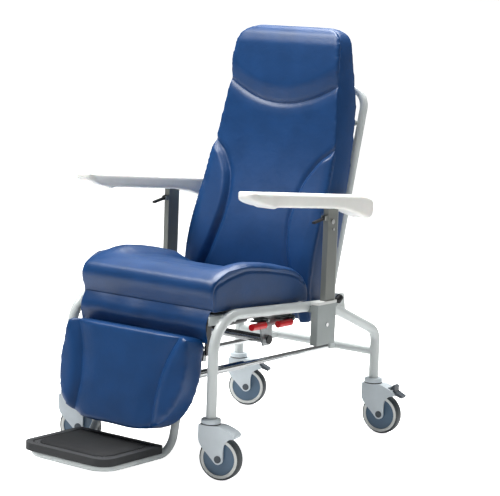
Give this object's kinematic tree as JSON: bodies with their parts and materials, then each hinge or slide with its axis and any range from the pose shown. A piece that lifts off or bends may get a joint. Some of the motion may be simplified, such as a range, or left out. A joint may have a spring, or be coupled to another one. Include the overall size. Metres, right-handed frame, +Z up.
{
  "type": "patient recliner chair",
  "caption": "Wheeled patient recliner chair with padded back, seat and calf pad, height-adjustable armrests, footrest and braked castors.",
  "frame": {"origin": "on the floor, midway between the four castor stems", "axes": "+Z up, the sitter faces -Y, +X is the sitter's left"},
  "size_m": [0.717, 1.1767, 1.25],
  "materials": {
    "frame_paint": "light grey powder coat",
    "chrome": "bright chromed steel",
    "foot_tube_chrome": "satin plated steel",
    "post_aluminium": "grey-green anodised aluminium",
    "receiver_paint": "grey powder coat",
    "cap_plastic": "off-white moulded plastic",
    "screw_steel": "bright screw heads",
    "black_plastic": "black moulded plastic",
    "armrest_foam": "off-white integral-skin polyurethane",
    "upholstery": "navy blue coated fabric",
    "backing": "dark grey vinyl-covered panel",
    "zinc": "zinc plated steel",
    "dark_steel": "black painted steel",
    "grip_red": "red dipped vinyl grip",
    "mat_rubber": "black moulded rubber",
    "castor_housing": "grey moulded nylon",
    "castor_disc": "blue-grey moulded wheel centre",
    "castor_tyre": "dark grey thermoplastic rubber tread",
    "pedal_plastic": "dark grey moulded pedal"
  },
  "bodies": {
    "base": {"side_frame_left": "frame_paint", "side_frame_right": "frame_paint", "rear_cross_tube": "frame_paint", "seat_cross_tubes": "frame_paint", "seat_board": "backing", "legrest_brackets": "frame_paint", "back_lugs": "frame_paint", "receiver_left": "receiver_paint", "receiver_right": "receiver_paint", "receiver_caps": "cap_plastic", "receiver_screws": "screw_steel", "seat_cushion": "upholstery", "seat_flap": "upholstery", "actuator_tube": "chrome", "actuator_caps": "black_plastic", "actuator_brackets": "zinc"},
    "backrest": {"back_frame": "frame_paint", "back_board": "backing", "back_cushion": "upholstery"},
    "legrest": {"legrest_frame": "zinc", "legrest_arms": "dark_steel", "calf_board": "backing", "calf_cushion": "upholstery"},
    "footrest": {"foot_frame": "foot_tube_chrome", "foot_mat": "mat_rubber"},
    "gas_spring_body": {"gas_spring_body": "dark_steel"},
    "gas_spring_rod": {"gas_spring_rod": "zinc"},
    "release_lever_legs": {"release_arm_legs": "dark_steel", "release_grip_legs": "grip_red"},
    "release_lever_back": {"release_arm_back": "dark_steel", "release_grip_back": "grip_red"},
    "armrest_left": {"armrest_post_left": "post_aluminium", "armrest_pad_left": "armrest_foam", "post_screws_left": "screw_steel"},
    "armrest_lever_left": {"armrest_lever_left": "black_plastic"},
    "lock_knob_left": {"lock_knob_left": "black_plastic"},
    "strut_rod_left": {"strut_rod_left": "chrome"},
    "strut_tube_left": {"strut_tube_left": "chrome"},
    "armrest_right": {"armrest_post_right": "post_aluminium", "armrest_pad_right": "armrest_foam", "post_screws_right": "screw_steel"},
    "armrest_lever_right": {"armrest_lever_right": "black_plastic"},
    "lock_knob_right": {"lock_knob_right": "black_plastic"},
    "strut_rod_right": {"strut_rod_right": "chrome"},
    "strut_tube_right": {"strut_tube_right": "chrome"},
    "castor_front_left": {"castor_fork_front_left": "castor_housing"},
    "wheel_front_left": {"castor_disc_front_left": "castor_disc", "castor_tyre_front_left": "castor_tyre"},
    "castor_front_right": {"castor_fork_front_right": "castor_housing"},
    "wheel_front_right": {"castor_disc_front_right": "castor_disc", "castor_tyre_front_right": "castor_tyre"},
    "castor_rear_left": {"castor_fork_rear_left": "castor_housing"},
    "wheel_rear_left": {"castor_disc_rear_left": "castor_disc", "castor_tyre_rear_left": "castor_tyre"},
    "pedal_rear_left": {"brake_pedal_rear_left": "pedal_plastic"},
    "castor_rear_right": {"castor_fork_rear_right": "castor_housing"},
    "wheel_rear_right": {"castor_disc_rear_right": "castor_disc", "castor_tyre_rear_right": "castor_tyre"},
    "pedal_rear_right": {"brake_pedal_rear_right": "pedal_plastic"}
  },
  "joints": [
    {"name": "backrest_recline", "type": "hinge", "parent": "base", "child": "backrest", "pos_m": [0, 0.226, 0.44], "axis": [-1, 0, 0], "range_deg": [0, 42]},
    {"name": "legrest_raise", "type": "hinge", "parent": "base", "child": "legrest", "pos_m": [0, -0.38, 0.438], "axis": [-1, 0, 0], "range_deg": [0, 70]},
    {"name": "footrest_slide", "type": "slide", "parent": "legrest", "child": "footrest", "axis": [0, -0.2164, -0.9763], "range_m": [-0.018, 0.025]},
    {"name": "gas_spring_turn", "type": "hinge", "parent": "base", "child": "gas_spring_body", "pos_m": [0, -0.092, 0.354], "axis": [1, 0, 0], "range_deg": [0, 9.24]},
    {"name": "gas_spring_stroke", "type": "slide", "parent": "gas_spring_body", "child": "gas_spring_rod", "axis": [0, 0.9996, 0.0276], "range_m": [-0.04079, 0]},
    {"name": "legs_lever_pull", "type": "hinge", "parent": "base", "child": "release_lever_legs", "pos_m": [0, -0.139, 0.414], "axis": [-1, 0, 0], "range_deg": [0, 6], "stiffness_Nm_per_rad": 6, "springref_deg": -6.88},
    {"name": "back_lever_pull", "type": "hinge", "parent": "base", "child": "release_lever_back", "pos_m": [0, -0.014, 0.408], "axis": [-1, 0, 0], "range_deg": [0, 6], "stiffness_Nm_per_rad": 6, "springref_deg": -6.88},
    {"name": "armrest_height_left", "type": "slide", "parent": "base", "child": "armrest_left", "axis": [0, 0, -1], "range_m": [0, 0.09]},
    {"name": "armrest_lever_pull_left", "type": "hinge", "parent": "armrest_left", "child": "armrest_lever_left", "pos_m": [0.3046, 0.0484, 0.702], "axis": [-1, 0, 0], "range_deg": [0, 22], "stiffness_Nm_per_rad": 0.3, "springref_deg": -17.19},
    {"name": "lock_knob_pull_left", "type": "slide", "parent": "base", "child": "lock_knob_left", "axis": [0, 0.7771, 0.6293], "range_m": [0, 0.008], "stiffness_N_per_m": 600, "springref_m": -0.004},
    {"name": "strut_turn_left", "type": "hinge", "parent": "base", "child": "strut_rod_left", "pos_m": [0.115, 0.373, 0.254], "axis": [-1, 0, 0], "range_deg": [0, 6.19]},
    {"name": "strut_stroke_left", "type": "slide", "parent": "strut_rod_left", "child": "strut_tube_left", "axis": [0, -1, 0], "range_m": [0, 0.19351]},
    {"name": "armrest_height_right", "type": "slide", "parent": "base", "child": "armrest_right", "axis": [0, 0, -1], "range_m": [0, 0.09]},
    {"name": "armrest_lever_pull_right", "type": "hinge", "parent": "armrest_right", "child": "armrest_lever_right", "pos_m": [-0.3046, 0.0484, 0.702], "axis": [-1, 0, 0], "range_deg": [0, 22], "stiffness_Nm_per_rad": 0.3, "springref_deg": -17.19},
    {"name": "lock_knob_pull_right", "type": "slide", "parent": "base", "child": "lock_knob_right", "axis": [0, 0.7771, 0.6293], "range_m": [0, 0.008], "stiffness_N_per_m": 600, "springref_m": -0.004},
    {"name": "strut_turn_right", "type": "hinge", "parent": "base", "child": "strut_rod_right", "pos_m": [-0.115, 0.373, 0.254], "axis": [-1, 0, 0], "range_deg": [0, 6.19]},
    {"name": "strut_stroke_right", "type": "slide", "parent": "strut_rod_right", "child": "strut_tube_right", "axis": [0, -1, 0], "range_m": [0, 0.19351]},
    {"name": "castor_swivel_front_left", "type": "hinge", "parent": "base", "child": "castor_front_left", "pos_m": [0.2664, -0.402, 0.15], "axis": [0, 0, 1], "continuous": true},
    {"name": "wheel_spin_front_left", "type": "hinge", "parent": "castor_front_left", "child": "wheel_front_left", "pos_m": [0.29972, -0.39388, 0.0625], "axis": [-0.2368, 0.9715, 0], "continuous": true},
    {"name": "castor_swivel_front_right", "type": "hinge", "parent": "base", "child": "castor_front_right", "pos_m": [-0.2664, -0.402, 0.15], "axis": [0, 0, 1], "continuous": true},
    {"name": "wheel_spin_front_right", "type": "hinge", "parent": "castor_front_right", "child": "wheel_front_right", "pos_m": [-0.23438, -0.38971, 0.0625], "axis": [-0.3584, 0.9336, 0], "continuous": true},
    {"name": "castor_swivel_rear_left", "type": "hinge", "parent": "base", "child": "castor_rear_left", "pos_m": [0.2664, 0.402, 0.15], "axis": [0, 0, 1], "continuous": true},
    {"name": "wheel_spin_rear_left", "type": "hinge", "parent": "castor_rear_left", "child": "wheel_rear_left", "pos_m": [0.30039, 0.4066, 0.0625], "axis": [-0.134, 0.991, 0], "continuous": true},
    {"name": "brake_pedal_rear_left", "type": "hinge", "parent": "castor_rear_left", "child": "pedal_rear_left", "pos_m": [0.33973, 0.41191, 0.141], "axis": [-0.134, 0.991, 0], "range_deg": [-12, 0]},
    {"name": "castor_swivel_rear_right", "type": "hinge", "parent": "base", "child": "castor_rear_right", "pos_m": [-0.2664, 0.402, 0.15], "axis": [0, 0, 1], "continuous": true},
    {"name": "wheel_spin_rear_right", "type": "hinge", "parent": "castor_rear_right", "child": "wheel_rear_right", "pos_m": [-0.23438, 0.41429, 0.0625], "axis": [-0.3584, 0.9336, 0], "continuous": true},
    {"name": "brake_pedal_rear_right", "type": "hinge", "parent": "castor_rear_right", "child": "pedal_rear_right", "pos_m": [-0.19732, 0.42852, 0.141], "axis": [-0.3584, 0.9336, 0], "range_deg": [-12, 0]}
  ],
  "couplings": [
    {"joint": "gas_spring_turn", "follows": "backrest_recline", "ratio": 0.2197},
    {"joint": "gas_spring_stroke", "follows": "backrest_recline", "m_per_rad": -0.055504},
    {"joint": "strut_turn_left", "follows": "legrest_raise", "ratio": 0.088329},
    {"joint": "strut_stroke_left", "follows": "legrest_raise", "m_per_rad": 0.15831},
    {"joint": "strut_turn_right", "follows": "legrest_raise", "ratio": 0.088329},
    {"joint": "strut_stroke_right", "follows": "legrest_raise", "m_per_rad": 0.15831}
  ]
}
